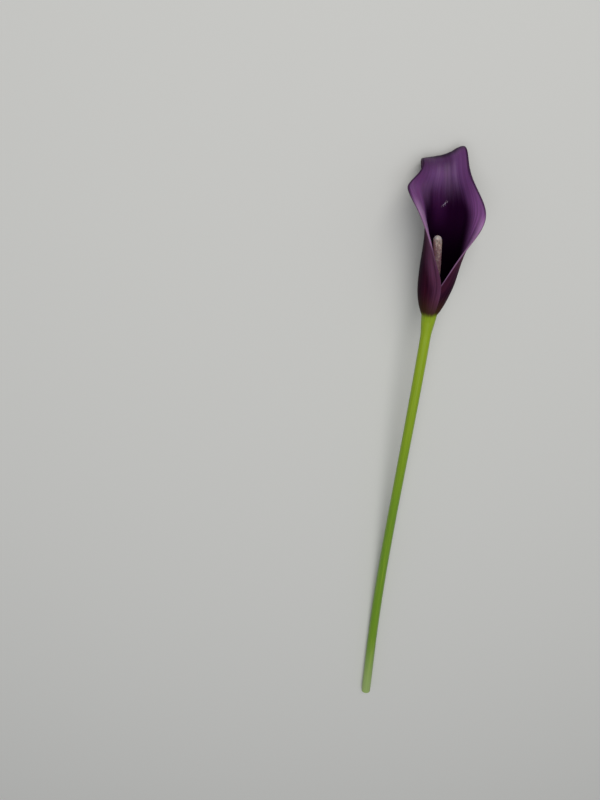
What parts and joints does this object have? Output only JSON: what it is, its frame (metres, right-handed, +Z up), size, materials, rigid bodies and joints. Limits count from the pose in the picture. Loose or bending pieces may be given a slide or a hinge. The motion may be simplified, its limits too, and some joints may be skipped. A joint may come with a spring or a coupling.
{
  "type": "calla lily flower",
  "caption": "Cut calla lily flower lying on its back: a dark purple spathe rolled into a flared trumpet with a curled-back tip, round a pale spadix, on a long smooth stem.",
  "frame": {"origin": "on the surface that the flower lies on, under the middle of its box", "axes": "+Y from the stem's cut end to the flower, +Z up out of the trumpet's mouth, +X to the right as seen from above with the flower at the top"},
  "size_m": [0.0428, 0.3992, 0.0383],
  "materials": {
    "spathe_skin": "waxy, dark purple inside with a near-black throat, purple-maroon and finely veined outside",
    "spadix_florets": "matte, cream-grey, covered in small florets",
    "stem_skin": "smooth and waxy, yellow-green at the top and mid green below"
  },
  "bodies": {
    "root": {"stem": "stem_skin", "spathe": "spathe_skin", "spadix": "spadix_florets"}
  },
  "joints": []
}
